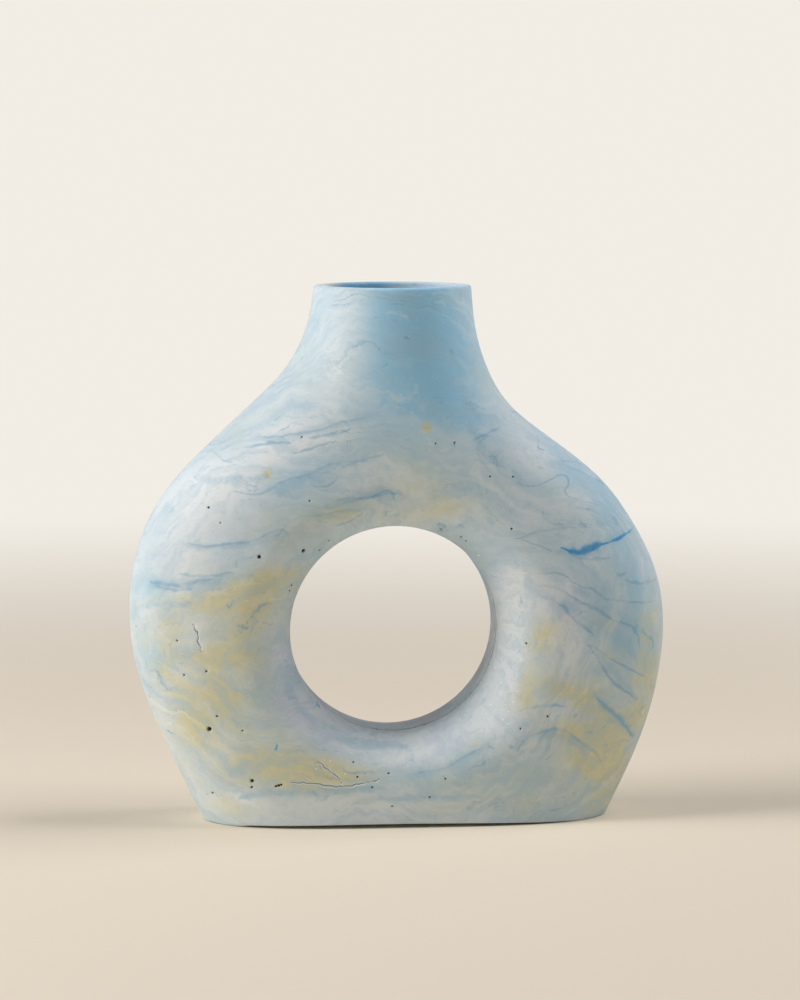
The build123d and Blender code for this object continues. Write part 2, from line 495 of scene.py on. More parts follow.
def put_mesh(name, points, faces, fields=None, paint=None):
    """Make an object of points in millimetres and padded faces, and shade it smooth but for sharp edges.

    Points that coincide are merged. Fields are numbers on all points, and paint works out more on the
    points in use. The material reads both.
    """
    used, compact = np.unique(faces[faces >= 0], return_inverse=True)
    sizes = (faces >= 0).sum(axis=1)
    mesh = bpy.data.meshes.new(name)
    mesh.vertices.add(len(used))
    mesh.vertices.foreach_set("co", (points[used] * TO_METRES).astype(np.float32).ravel())
    mesh.loops.add(int(sizes.sum()))
    mesh.loops.foreach_set("vertex_index", compact.ravel().astype(np.int32))
    mesh.polygons.add(len(sizes))
    mesh.polygons.foreach_set("loop_start", np.r_[0, np.cumsum(sizes)[:-1]].astype(np.int32))
    mesh.update(calc_edges=True)
    layers = {field: values[used] for field, values in (fields or {}).items()}
    if paint:
        layers.update(paint(points[used]))
    for field, values in layers.items():
        kind, slot = ("FLOAT_VECTOR", "vector") if values.ndim == 2 else ("FLOAT", "value")
        layer = mesh.attributes.new(field, kind, "POINT")
        layer.data.foreach_set(slot, values.astype(np.float32).ravel())
    work = bmesh.new()
    work.from_mesh(mesh)
    bmesh.ops.remove_doubles(work, verts=work.verts, dist=MERGE_DISTANCE * TO_METRES)
    bmesh.ops.dissolve_degenerate(work, edges=work.edges, dist=DEGENERATE_LENGTH * TO_METRES)
    work.to_mesh(mesh)
    work.free()
    mesh.shade_smooth()
    mesh.set_sharp_from_angle(angle=np.radians(SHARP_ANGLE))
    mesh.validate()
    piece = bpy.data.objects.new(name, mesh)
    bpy.context.scene.collection.objects.link(piece)
    return piece


def smooth_step(low, high, value):
    """Cubic step from 0 at low to 1 at high: three squares of the share, less two cubes of it."""
    share = np.clip((value - low) / (high - low), 0, 1)
    return share * share * (3 - 2 * share)


# Octaves of a ripple, sines in each, what a sine is divided by, and how much weaker each octave is
OCTAVES = 2
SINES = 4
SINE_SHARE = 2.5
OCTAVE_FALL = 1.7


def ripple(points, seed, length):
    """Soft random field between about -1 and 1: octaves of sines in seeded directions.

    Each octave is half as long as the one before, and weaker.
    """
    random = np.random.default_rng(seed)
    total = np.zeros(points.shape[:-1])
    for octave in range(OCTAVES):
        for _ in range(SINES):
            direction = random.normal(size=3)
            direction *= 2 * np.pi * 2**octave / (length * np.linalg.norm(direction))
            wave = np.sin(points @ direction + random.uniform(0, 2 * np.pi))
            total += wave / (SINE_SHARE * OCTAVE_FALL**octave)
    return total


# Marks of the casting, in front view, in millimetres

# Pinholes left by air bubbles: X, Y, Z and radius
PINHOLES = np.array(
    [
        (-72.7, -23, 120.5, 0.5), (-54.3, -28.6, 102.5, 0.75), (-37.6, -25.2, 104.1, 0.8),
        (-31.3, -20.5, 103.7, 0.5), (-27.9, -21.6, 107.5, 0.4), (-35.6, -29.2, 123.2, 0.4),
        (-38.2, -26.6, 146.7, 0.4), (-41.8, -21, 90.8, 0.45), (-42.5, -20.7, 88.7, 0.4),
        (-82.1, -22.3, 57.8, 0.45), (-73.9, -25.4, 59.6, 0.45), (-84.6, -22.2, 70.8, 0.4),
        (-70, -25.1, 42.6, 0.45), (-72.9, -23.4, 37.5, 0.95), (-57.1, -26, 18.2, 0.75),
        (-57.2, -25.7, 15.8, 0.5), (-12.4, -29.4, 15.7, 0.45), (-6.2, -27.8, 20.6, 0.45),
        (-17.9, -28.9, 19.6, 0.45), (-71.5, -17.8, 12.5, 0.5), (-19.3, -27.1, 24.9, 0.4),
        (31.6, -28.7, 131.6, 0.4), (40.3, -27.7, 131.3, 0.4), (39.7, -28.8, 112, 0.45),
        (14.1, -19.5, 111, 0.45), (21.6, -20.8, 108.2, 0.45), (23.5, -20.5, 106.7, 0.4),
        (45.8, -24.6, 68.4, 0.45), (37.4, -5.8, 72.9, 0.4), (11.2, -29.3, 144.1, 0.4),
        (18.3, -28.9, 144.3, 0.4), (53.5, -28.2, 41.2, 0.45), (43.3, -28.6, 36.8, 0.4),
        (15, -29.2, 18.4, 0.4), (9.1, -29.5, 11.6, 0.4), (-77.2, -21.2, 33, 0.4), (-60.6, -26.8, 37.3, 0.4),
        (-54.4, -27.4, 21, 0.35), (-48.3, -27.9, 16.3, 0.55), (-47.3, -28, 16.6, 0.6),
        (-46.4, -28.1, 16.9, 0.5), (-68.5, -25.6, 115, 0.35), (-5, -29.5, 8.4, 0.4),
    ]
)

# White flecks of undissolved powder, mostly right of the hole: X, no depth, Z and radius
FLECKS = np.array(
    [
        (37, 0, 53, 0.42), (40.8, 0, 46.5, 0.38), (33, 0, 45, 0.36), (36.8, 0, 40, 0.42),
        (28.5, 0, 101, 0.36), (35.6, 0, 57.8, 0.3), (39.2, 0, 43, 0.3), (42.4, 0, 50.4, 0.3),
        (38.4, 0, 38.6, 0.32), (31, 0, 41.8, 0.3), (44, 0, 62, 0.28), (36.2, 0, 49, 0.28),
        (-28, 0, 25.6, 0.34), (-22.6, 0, 20.8, 0.3), (-33.4, 0, 22.8, 0.34),
    ]
)

# All strokes: half width, then X and Z of each point of the path

# Cracked flaw at the lower left, and the thin crack above it
GROOVES = (
    (0.27, (-43, 18), (-38, 17.8), (-32.8, 17), (-24.3, 16.4), (-18.7, 16.8), (-13.4, 17.2)),
    (0.24, (-13, 17.4), (-10.9, 18.6), (-9.2, 19.4)),
    (0.27, (-34, 25.2), (-31.2, 24.4), (-28.7, 21.6), (-26, 20.4), (-24.1, 18.2), (-23.4, 16.9)),
    (0.24, (-79, 77), (-77.2, 73.8), (-76.4, 70.4), (-75.3, 67.2)),
)

# Strokes of undiluted blue pigment
BLUE_STROKES = (
    (1.6, (61.4, 103.4), (65.4, 102.9), (69.8, 104.2), (74.8, 105)),
    (0.6, (58.3, 104.4), (65.4, 102.7), (73.7, 104.6), (78.4, 105.9), (82.5, 107.6), (88.9, 110)),
    (0.45, (-47.8, 32.4), (-48.1, 29.6)),
)

# Veins of thinned blue, most of them on the right of the ring
VEINS = (
    (0.45, (-0.6, 183.6), (0.5, 183.2), (1.3, 182.6)),
    (0.45, (9.8, 196.6), (11, 195.6), (11.5, 195)),
    (0.4, (17, 178.8), (17.4, 177.4), (17.8, 176)),
    (0.32, (-9.4, 172.2), (-7.4, 173.4), (-6.4, 174.6)),
    (0.42, (64, 101.2), (70.2, 100), (77.7, 99.6)),
    (0.38, (90.8, 73.1), (92.5, 69.7), (95.2, 67.2), (94.4, 64)),
    (0.55, (49.2, 90.4), (55.3, 89.7), (62, 86.9), (67, 83.4), (72.9, 80.5), (79.1, 76.8), (84.5, 74.7),
        (88.3, 70.2), (89.7, 65.6)),
    (0.5, (50.8, 86.7), (54, 85.4), (58.8, 82.4), (62.6, 78.7), (67.2, 74.9), (71.4, 70.4)),
    (0.45, (68.8, 68.1), (71.7, 64), (74.6, 58.8), (79.4, 53.2), (84.9, 48.3), (89, 44.8)),
    (0.36, (68.8, 68.1), (73.1, 66.2), (77.5, 62), (85.4, 57.9), (92.9, 53.4)),
    (0.65, (72.5, 47.8), (77.2, 43.2), (82.7, 37.3), (88.2, 31.2)),
    (0.75, (-94.5, 92.6), (-88.6, 91.5), (-81.7, 91.2), (-77.6, 93.4), (-72, 94.2)),
    (0.5, (-92.5, 90.3), (-86, 89.9), (-79, 90.6)),
    (0.45, (-84, 95.6), (-77.4, 94.9), (-70.2, 95.9), (-64, 96.8)),
    (0.5, (79.2, 94.9), (80.2, 93.6), (83.9, 94.4)),
    (0.5, (83.9, 91.6), (90, 89.8), (97.3, 89.7)),
    (0.45, (-24, 121.5), (-16, 123.8), (-8, 125.4), (-3, 125.2)),
    (0.4, (-60, 142.5), (-50, 144), (-42, 144.5)),
    (0.45, (-36, 146), (-28, 147.5), (-20, 150)),
    (0.4, (-22, 136.5), (-14, 138.5), (-8, 140)),
    (0.45, (26, 145.5), (31, 147), (36, 149.5)),
    (0.45, (27, 141), (30, 135), (34, 131)),
)

# Fine contour lines where two pours meet
CONTOUR_LINES = (
    (0.35, (-70.4, 141.3), (-67.3, 138.1), (-63.3, 136.7)),
    (0.39, (-54, 146.5), (-36.6, 148.3), (-29.5, 150.3), (-14.2, 153.9)),
    (0.39, (-41.6, 140.6), (-35.3, 142.7), (-25.5, 145)),
    (0.39, (-63.5, 126.4), (-52.2, 126.5), (-45.2, 130.1), (-35.5, 133.5), (-24.8, 137.1), (-14.1, 138.5)),
    (0.31, (-33.4, 132.1), (-28.9, 133.5), (-25.5, 132.2), (-27, 129.9), (-35.5, 128.5)),
    (0.51, (-26.2, 122.8), (-19, 124.1), (-11.2, 124.9), (-5.6, 126.2), (-4, 123.2)),
    (0.35, (-37.6, 117), (-28.3, 118.6), (-18.9, 119), (-16, 118.4), (-20.9, 114.5), (-28.3, 114.1)),
    (0.31, (-81.2, 107.7), (-73.4, 106.4), (-63.8, 107.3), (-54.6, 109.5), (-43.8, 110.8), (-43.1, 108.7),
        (-46.2, 107.3)),
    (0.27, (33.8, 147.5), (30.5, 145.7), (26.8, 142.9), (28.2, 139.9), (34.2, 138.1), (34.7, 134.3),
        (39.1, 130.8), (42, 128.7), (52.1, 128.9), (61.3, 130.1), (61.8, 128.5), (60.5, 125.7),
        (66.5, 121.9), (74.3, 118.7)),
    (0.25, (35.7, 139.9), (33.2, 137.1), (36.3, 133.5)),
    (0.25, (51.3, 145.7), (51.6, 143.8), (50.9, 141.9), (53.5, 140.2)),
    (0.25, (41.1, 154.3), (42.7, 154.1), (46.1, 152)),
    (0.25, (59.7, 136.2), (64.7, 135.5), (67.7, 135.6)),
    (0.31, (74.5, 129.1), (76.5, 126.9), (77.5, 125.9)),
    (0.3, (51.3, 120.3), (51.8, 117), (55, 114), (62.4, 113.1), (73.1, 112.4)),
    (0.3, (39.8, 108), (43.3, 108.2), (46.8, 109.9), (52.7, 111.4), (60.8, 111.8), (70.6, 111.9)),
    (0.3, (43.3, 108.2), (49.8, 105.5), (55, 102.9)),
    (0.31, (63.2, 119.3), (68.5, 118.5), (73.9, 116)),
    (0.33, (49.5, 95.2), (59.6, 94.1), (64, 90.7), (71.4, 88.5), (74.4, 85.5), (82.1, 83.6), (96, 81.9)),
    (0.39, (5.1, 20.4), (13.8, 22.3), (21.7, 25.7), (28.8, 29.8)),
    (0.47, (42.4, 27.9), (45.4, 32.9), (51.1, 35.5), (57.9, 36), (65.4, 31.9), (72.2, 26.3), (74.6, 21.7)),
    (0.39, (42.4, 42.8), (48.3, 45), (55.4, 45.4), (61.3, 44.1)),
)

# Soft washes of thinned pigment beside the strokes
WASHES = (
    (2.3, (51, 87.5), (60, 83), (68, 77.5), (76, 72), (84, 66.5), (89, 60.5)),
    (1.7, (62, 89.5), (72, 84.5), (82, 78), (90.5, 71)),
    (1.3, (72.5, 66), (78, 58.5), (84, 51.5), (89, 46)),
    (1.2, (71, 49.5), (77.2, 43.2), (82.7, 37.3), (89, 30.5)),
    (1.6, (56, 103.5), (66, 103.5), (75, 106), (84, 109)),
    (1.6, (-95, 91), (-86, 92), (-76, 93.2), (-68, 94.8)),
    (1, (-97, 83), (-88, 84), (-78, 84.5)),
    (2.6, (-48, 127), (-38, 130.5), (-26, 135), (-12, 139)),
    (1.8, (-30, 121), (-18, 123.5), (-5, 126.5), (0, 124)),
    (1.2, (-40, 116.5), (-28, 118), (-14, 119.5)),
    (1.6, (-58, 145), (-40, 147.5), (-24, 151.5), (-10, 155)),
    (1.2, (-78, 131), (-62, 130.5), (-50, 133)),
    (1, (-84, 107), (-66, 106.5), (-52, 109), (-40, 111.5)),
    (2, (24, 151), (29, 142), (37, 133), (46, 127.5)),
    (1.6, (46, 122), (54, 116), (64, 113.5), (76, 112)),
    (1.5, (18, 178), (22, 165), (28, 152)),
    (1.6, (42, 29), (47, 33.5), (55, 34.5), (63, 31.5), (70, 25.5)),
    (1.2, (0, 19), (12, 21.5), (24, 26.5), (34, 33)),
    (1.3, (-62, 11.5), (-48, 14), (-30, 14.6), (-8, 15.6)),
    (1, (-20, 10), (5, 11.5), (30, 11)),
    (1.6, (-44, 54), (-38, 43), (-28, 35), (-14, 30.5), (2, 29.5)),
)

# The material's field for each group of strokes: the strokes, the seed of their sway, and the most that
# a step is thrown to one side
STROKE_FIELDS = {
    "groove": (GROOVES, 70, 0.32),
    "blue": (BLUE_STROKES, 100, 0.05),
    "line": (CONTOUR_LINES, 200, 0.12),
    "vein": (VEINS, 150, 0.12),
    "wash": (WASHES, 300, 0.0),
}
# Fields whose marks are drawn on fine steps, and the offset within which they are
FINE_REACH = {"pit": 1.2, "blue": 2.0, "line": 2.0, "vein": 2.0, "fleck": 1.3}
# Steps along a stroke's path, and its two sways: length over a turn, and reach
STROKE_STEP = 0.8
SWAYS = ((0.8, 0.12), (3.1, 0.30))
# Share of a stroke's half width that its ends have, share by which it swells and thins, and how many
# radians of that swell it runs through
TIP_SHARE = 0.25
SWELL_SHARE = 0.25
SWELL_RUN = 17
# Where offsets from a stroke stop, in half widths, and from a pinhole, in radii
FAR = 6.0
PINHOLE_FAR = 3.0
# Depth of a pinhole's dent, and the distances between which it comes back to the surface, in radii
DENT_DEPTH = 1.1
DENT_EDGE = (0.5, 1.15)

# Ripples that push the pour about: length and reach
POUR_RIPPLES = ((75, 8), (17, 1.3))
# How much widths shrink on the right of the hole, how much more they do on the left, the places between
# which that begins, and how far the pattern drifts outwards with each millimetre of depth
RIGHT_SHRINK = 1.35
LEFT_SHRINK = 1.15
LEFT_BEGINS = (10, -50)
DEPTH_DRIFT = 0.25

# Soft patches of each tint on the front: X and Z of the centre, half width, half height, tilt in degrees
# and strength
PATCHES = {
    "straw": (
        (-66, 88, 22, 6, 6, 0.5), (-56, 87, 8, 5, 0, 0.5), (93, 72, 5, 8, 0, 0.3),
        (-78, 46, 12, 14, 0, 0.45), (-45, 22, 18, 8, -12, 0.5), (-52, 93, 12, 5, 12, 1.2),
        (-58, 84, 12, 8, 0, 0.5), (-60, 9, 13, 5, 0, 0.4), (94, 60, 7, 20, 0, 0.6), (88, 42, 7, 10, 0, 0.5),
        (79, 12, 8, 9, 0, 0.6), (20, 9, 40, 4, 0, 0.25), (-76, 86, 10, 3, 0, 0.6), (-71, 64, 13, 4, 4, 0.9),
        (-84, 58.5, 8, 4, 0, 0.9), (-67, 51, 5, 6, 0, 0.9), (-76, 38.5, 6, 4, 0, 0.8),
        (-72, 30.5, 6, 3.5, 0, 0.8), (-66, 10, 4, 3.5, 0, 0.7), (-40, 23, 14, 7, -15, 0.9),
        (-22, 21, 12, 5, 0, 0.7), (-60, 27, 8, 4, 20, 0.5), (-88, 74, 5, 9, 0, 0.55),
        (-62, 74, 9, 6, 0, 0.5), (50, 71, 7, 5, 20, 0.9), (45, 51, 5, 7, 0, 1), (58, 51, 8, 4, -20, 0.8),
        (70, 45.5, 8, 4, -25, 0.8), (77, 38, 6, 5, -35, 0.8), (79, 28, 6, 9, 0, 0.8),
        (64, 33, 9, 5, -30, 0.6), (70, 22, 9, 4, -20, 0.6), (27, 30, 6, 3, 20, 0.4), (80, 63, 6, 5, 0, 0.4),
        (75, 76, 6, 4, -20, 0.4), (-22, 118.5, 9, 3.5, 8, 0.55), (0, 117, 12, 3.5, 0, 0.45),
        (13, 121, 8, 4, -10, 0.4), (-74, 50, 20, 27, 0, 0.45), (74, 36, 18, 24, 0, 0.4),
        (50, 62, 12, 18, 0, 0.2), (-56, 20, 16, 12, 0, 0.35), (10, 128, 26, 9, 0, 0.22),
    ),
    "sky": (
        (5, 187, 18, 26, 0, 1.2), (11, 163, 16, 14, 0, 0.7), (26, 152, 9, 8, -45, 0.5),
        (-27, 180, 8, 26, 0, 0.3), (-22, 158, 12, 14, 0, 0.4), (16, 178, 12, 26, 0, 0.6),
        (59, 133, 12, 6, -38, 0.55), (74, 118, 10, 7, -45, 0.6), (82, 100, 8, 10, 0, 0.45),
        (90, 87, 6, 9, 0, 0.5), (-39, 131, 14, 5, 18, 0.35), (-69, 105, 12, 4, 8, 0.35),
        (-94, 89, 6, 5, 0, 0.6), (-94, 61, 5, 6, 0, 0.45), (-28, 33, 9, 4, -25, 0.5),
        (-9, 28.5, 12, 3.5, 0, 0.55), (-36, 14.5, 22, 2.6, 2, 0.5), (10, 28, 10, 3, 5, 0.35),
        (90, 68, 6, 6, 0, 0.4), (-8, 165, 12, 14, 0, 0.45), (-9, 190, 7, 18, 0, 0.6),
        (66, 128, 16, 8, -42, 0.3), (50, 134, 11, 7, -35, 0.4), (-40, 142, 14, 9, 20, 0.35),
        (-40, 136, 24, 8, 18, 0.2),
    ),
    "lilac": (
        (-46, 63, 5, 14, 8, 0.6), (-41, 46, 5, 9, 40, 0.6), (-30, 36, 6, 6, 45, 0.5),
        (38, 84, 5, 14, 0, 0.8), (41, 68, 5, 10, 0, 0.6), (37, 53, 5, 8, -30, 0.6),
        (58, 81, 12, 10, -20, 0.55), (50, 40, 12, 6, 10, 0.35), (-61, 81, 10, 5, 0, 0.3),
        (-36, 42, 6, 12, 50, 0.5), (-12, 30, 18, 5, 0, 0.6), (14, 33, 12, 5, 20, 0.4),
    ),
    # Milk on the left shoulder's rounding, on the hole's right rounding and on the rounding under the hole is
    # partly painted light. Those faces turn to the lamps, and the patches make them paler than the plaster's
    # own tone.
    "milk": (
        (-22, 187, 10, 26, 0, 0.45), (-68, 30, 6, 7, 0, 0.5), (-82, 58, 7, 8, 0, 0.5),
        (-24, 174, 8, 10, 0, 0.4), (-46, 148, 12, 7, 30, 0.8), (-50, 138, 14, 7, 25, 0.55),
        (-72, 128, 16, 9, 40, 1), (-80, 97, 9, 14, 0, 0.6), (50, 137, 11, 6, -35, 1.1),
        (66, 121, 10, 6, -35, 0.8), (41, 80, 6, 16, 0, 1.2), (36, 57, 7, 9, -20, 1.6),
        (31, 43, 9, 8, -40, 1.5), (-3, 29, 18, 6, 0, 1.1), (-60, 11, 12, 6, 0, 0.6),
        (-15, 10, 45, 5, 0, 0.6), (57, 43, 7, 5, 0, 0.6), (-90, 42, 5, 9, 20, 0.7),
        (-28, 164, 8, 10, 0, 0.6), (-30, 147, 14, 8, 15, 0.8), (-80, 110, 14, 14, 35, 0.45),
        (-60, 125, 14, 8, 35, 0.4), (44, 95, 7, 12, 0, 0.35), (-95, 75, 4, 10, 0, 0.5),
        (-78, 20, 5, 14, 15, 0.4),
    ),
    "grey": (
        (-5, 140, 22, 8, 5, 0.35), (15, 130, 20, 9, -10, 0.4), (-5, 15, 40, 8, 0, 0.4),
        (25, 20, 25, 8, 0, 0.4), (-50, 58, 9, 14, 0, 0.6), (-60, 50, 10, 15, 0, 0.35),
        (60, 20, 16, 8, 0, 0.4), (-40, 112, 16, 6, 12, 0.5),
    ),
    "amber": (
        (7.8, 149.8, 1.7, 1.5, 0, 1.2), (-51, 132.9, 1.2, 1.5, 0, 1), (-28, 20.5, 9, 3, -12, 0.25),
        (-76, 47, 8, 10, 0, 0.1),
    ),
    "deep": (
        (9, 182, 8, 22, 0, 0.25), (-36, 132, 9, 2.5, 18, 0.25), (90, 118, 9, 6, -50, 0.2),
        (68, 103, 10, 4, 12, 0.2),
    ),
    "teal": (
        (64, 112, 14, 5, 8, 0.4), (76, 88, 12, 9, -25, 0.45), (78, 73, 10, 8, -30, 0.4),
        (34, 121, 14, 8, -30, 0.4), (20, 133, 10, 6, -20, 0.35), (95, 60, 4, 12, 0, 0.35),
        (-42, 57, 6, 9, 0, 0.35), (12, 175, 10, 18, 0, 0.2), (60, 136, 8, 4, -40, 0.3),
    ),
}
# Tints that only the front has
FRONT_TINTS = ("amber", "deep", "teal")
# Slow ripples that tint the back: length, gain and lift
BACK_RIPPLES = (80, 0.7, 0.1)
# Deep blue on the back of the neck, which shows inside it: X and Z of the centre, half width, half height
# and tilt
NECK_BLUE = (-12, 198, 14, 10, 0)
# How strong that blue is, and the depths between which it comes up
NECK_STRENGTH = 1.2
NECK_DEPTHS = (2, 12)
# Painted light low in the hole: the rose is a painted reflection of warm bounce light on the wall, and lilac
# and milk paint the light on the lower mouth. For each: strength, and the distances off its wall where it has
# gone and where it is full
HOLE_TINTS = {"rose_reflection": (1, 4, 0.5), "lilac": (1.1, 9, 1), "milk": (0.7, 12, 3)}
# Levels from the hole's centre between which they come up, and depths between which the painted rose
# reflection does
HOLE_LEVELS = (10, -20)
ROSE_REFLECTION_DEPTHS = (-1, 1)
# Depths between which the front's tints give way to the back's ripples
BACK_DEPTHS = (-8, 10)


def stroke_path(corners, seed, jag):
    """Even steps along the natural spline through the corners, and the share of its length at each.

    Sines sway the path to either side, and each step is thrown to one side by up to jag, at random.
    """
    corners = np.asarray(corners, dtype=float)
    length = np.r_[0, np.cumsum(np.hypot(*np.diff(corners, axis=0).T))]
    even = np.linspace(0, length[-1], max(int(length[-1] / STROKE_STEP), 4) + 1)
    path = np.stack([natural_curve(length, corners[:, axis])(even) for axis in (0, 1)], axis=1)
    run = np.gradient(path, axis=0)
    run /= np.linalg.norm(run, axis=1, keepdims=True)
    random = np.random.default_rng(seed)
    starts = random.uniform(0, 2 * np.pi, len(SWAYS))
    sway = sum(reach * np.sin(even / turn + start) for (turn, reach), start in zip(SWAYS, starts))
    sway = sway + random.uniform(-jag, jag, len(even))
    return path + np.stack([-run[:, 1], run[:, 0]], axis=1) * sway[:, None], even / length[-1]


def stroke_offset(points, strokes, seed, jag):
    """Distance to the nearest stroke in front view, in half widths of that stroke.

    A stroke's half width grows from its ends with the root of a half sine, and swells and thins along
    its length with a sine. Behind the middle plane the answer is FAR, as it is where every stroke is
    farther than that.
    """
    nearest = np.full(len(points), FAR)
    flat = points[:, ::2]
    for count, (half_width, *corners) in enumerate(strokes):
        path, share = stroke_path(corners, seed + count, jag)
        margin = FAR * half_width
        low, high = path.min(axis=0) - margin, path.max(axis=0) + margin
        close = np.nonzero(((flat > low) & (flat < high)).all(axis=1) & (points[:, 1] < 0))[0]
        if len(close) == 0:
            continue
        run = np.diff(path, axis=0)
        away = flat[close][:, None] - path[None, :-1]
        along = np.clip((away * run).sum(axis=2) / (run**2).sum(axis=1), 0, 1)
        off = away - along[..., None] * run
        distance = np.hypot(off[..., 0], off[..., 1])
        best = distance.argmin(axis=1)
        row = np.arange(len(close))
        place = share[best] + along[row, best] * (share[1] - share[0])
        width = half_width * (TIP_SHARE + (1 - TIP_SHARE) * np.sqrt(np.abs(np.sin(np.pi * place))))
        width = width * (1 + SWELL_SHARE * np.sin(SWELL_RUN * place + count))
        nearest[close] = np.minimum(nearest[close], distance[row, best] / width)
    return nearest


def pinhole_offset(points, pinholes):
    """Distance to the nearest pinhole in its radii, and the depth of the dent there.

    A dent is flat in the middle, and rises to the surface as a cubic step over the distances in DENT_EDGE.
    """
    nearest = np.full(len(points), PINHOLE_FAR)
    depth = np.zeros(len(points))
    for x, y, z, radius in pinholes:
        close = np.nonzero((np.abs(points - (x, y, z)) < PINHOLE_FAR * radius).all(axis=1))[0]
        distance = np.linalg.norm(points[close] - (x, y, z), axis=1) / radius
        nearest[close] = np.minimum(nearest[close], distance)
        dent = DENT_DEPTH * radius * (1 - smooth_step(*DENT_EDGE, distance))
        depth[close] = np.maximum(depth[close], dent)
    return nearest, depth


def seam_chips(form):
    """Chips along the seam in the hole: many below and to the right, and a few all round.

    Each stands a little in front of the seam or behind it.
    """
    many, few = 44, 10
    first_turn, last_turn = np.radians((70, 235))
    radii, offsets = (0.22, 0.55), (0.1, 0.45)
    random = np.random.default_rng(8)
    angle = np.r_[random.uniform(first_turn, last_turn, many), random.uniform(0, 2 * np.pi, few)]
    radius = random.uniform(*radii, many + few)
    side = random.choice((-1, 1), many + few) * random.uniform(*offsets, many + few)
    x = form.hole_centre + form.hole_radius * np.sin(angle)
    z = form.hole_height + form.hole_radius * np.cos(angle)
    return np.stack([x, side, z, radius], axis=1)


def back_pinholes(form):
    """Pinholes scattered over the back face, clear of the hole's rounding and of the outline."""
    tries, clearance, least_depth = 46, 2, 12
    reach, bottom, top, radii = 80, 8, 150, (0.35, 0.75)
    random = np.random.default_rng(21)
    x = random.uniform(-reach, reach, tries)
    z = random.uniform(bottom, top, tries)
    depth = form.depth(x, z, 0)
    clear = form.from_hole(x, z) > form.hole_radius + form.hole_back_round + clearance
    fits = clear & (depth > least_depth)
    return np.stack([x, depth, z, random.uniform(*radii, tries)], axis=1)[fits]


def pour_flow(points, form):
    """Coordinates that run with the pour: sine and cosine of the turn about the hole, and the distance
    from it with widths shrunk.

    Long and short ripples push the places about first. Widths shrink more on the left, where the pour
    runs nearly level, and the pattern drifts outwards with depth.
    """
    pushed = []
    for axis, seed, centre in ((0, 11, form.hole_centre), (2, 13, form.hole_height)):
        place = points[:, axis]
        for count, (length, reach) in enumerate(POUR_RIPPLES):
            place = place + reach * ripple(points, seed + count, length)
        pushed.append(place - centre)
    x, z = pushed
    x = x / (RIGHT_SHRINK + LEFT_SHRINK * smooth_step(*LEFT_BEGINS, x))
    distance = np.hypot(x, z)
    return np.stack([x / distance, z / distance, distance + DEPTH_DRIFT * points[:, 1]], axis=1)


def bell(points, x, z, wide, high, tilt):
    """Tilted bell curve in front view: exp(-(across / wide)^2 - (up / high)^2)."""
    turn = np.radians(tilt)
    across = (points[:, 0] - x) * np.cos(turn) + (points[:, 2] - z) * np.sin(turn)
    up = (points[:, 2] - z) * np.cos(turn) - (points[:, 0] - x) * np.sin(turn)
    return np.exp(-((across / wide) ** 2) - (up / high) ** 2)


def tints(points, form):
    """Weight of each soft tint: bell curves on the front, and slow ripples on the back.

    The back of the neck gets deep blue as well. Low in the hole, rose, a painted reflection of warm bounce
    light, lies on its wall behind the seam, and lilac and milk, painted light there, lie on the wall and fade
    out over the first millimetres of the face.
    """
    front = 1 - smooth_step(*BACK_DEPTHS, points[:, 1])
    length, gain, lift = BACK_RIPPLES
    fields = {}
    for count, (tint, patches) in enumerate(PATCHES.items()):
        total = sum(strength * bell(points, *place) for *place, strength in patches)
        behind = np.clip(gain * ripple(points, 30 + count, length) + lift, 0, 1)
        behind *= tint not in FRONT_TINTS
        fields[tint] = total * front + behind * (1 - front)
    fields["deep"] += NECK_STRENGTH * (bell(points, *NECK_BLUE) * smooth_step(*NECK_DEPTHS, points[:, 1]))
    # Painted light low in the hole: a rose reflection behind the seam, and paler lilac and milk on the lower
    # mouth.
    off_wall = form.from_hole(points[:, 0], points[:, 2]) - form.hole_radius
    none, whole = HOLE_LEVELS
    low = smooth_step(form.hole_height + none, form.hole_height + whole, points[:, 2])
    for tint, (strength, gone, full) in HOLE_TINTS.items():
        fields[tint] = fields.get(tint, 0) + strength * low * smooth_step(gone, full, off_wall)
    fields["rose_reflection"] *= smooth_step(*ROSE_REFLECTION_DEPTHS, points[:, 1])
    return fields


# Pieces

# The worn front edge of the sole: how far its arc reaches to each side, and how deep it runs in
WEAR_LEFT = 76.0
WEAR_RIGHT = 66.0
WEAR_REACH = 10.0
# Depth of the flaw's grooves, and the offsets between which they rise to the surface, in half widths
GROOVE_DEPTH = 0.4
GROOVE_EDGE = (0.4, 1.3)
# At the hole's seam the wall falls back by this much, and the fall fades over this distance.
SEAM_FALL = 0.22
SEAM_FADE = 0.35
# Points this near to the hole's wall count as lying on it.
ON_WALL = 0.01
# Dents deeper than this are drawn on fine steps, if they are farther than this from the seam.
FINE_DENT = 0.03
SEAM_MARGIN = 1.2
# The bond stands back from the surface by this much
BOND_SETBACK = 0.3
# Points round the bond's ring
RING_POINTS = 360


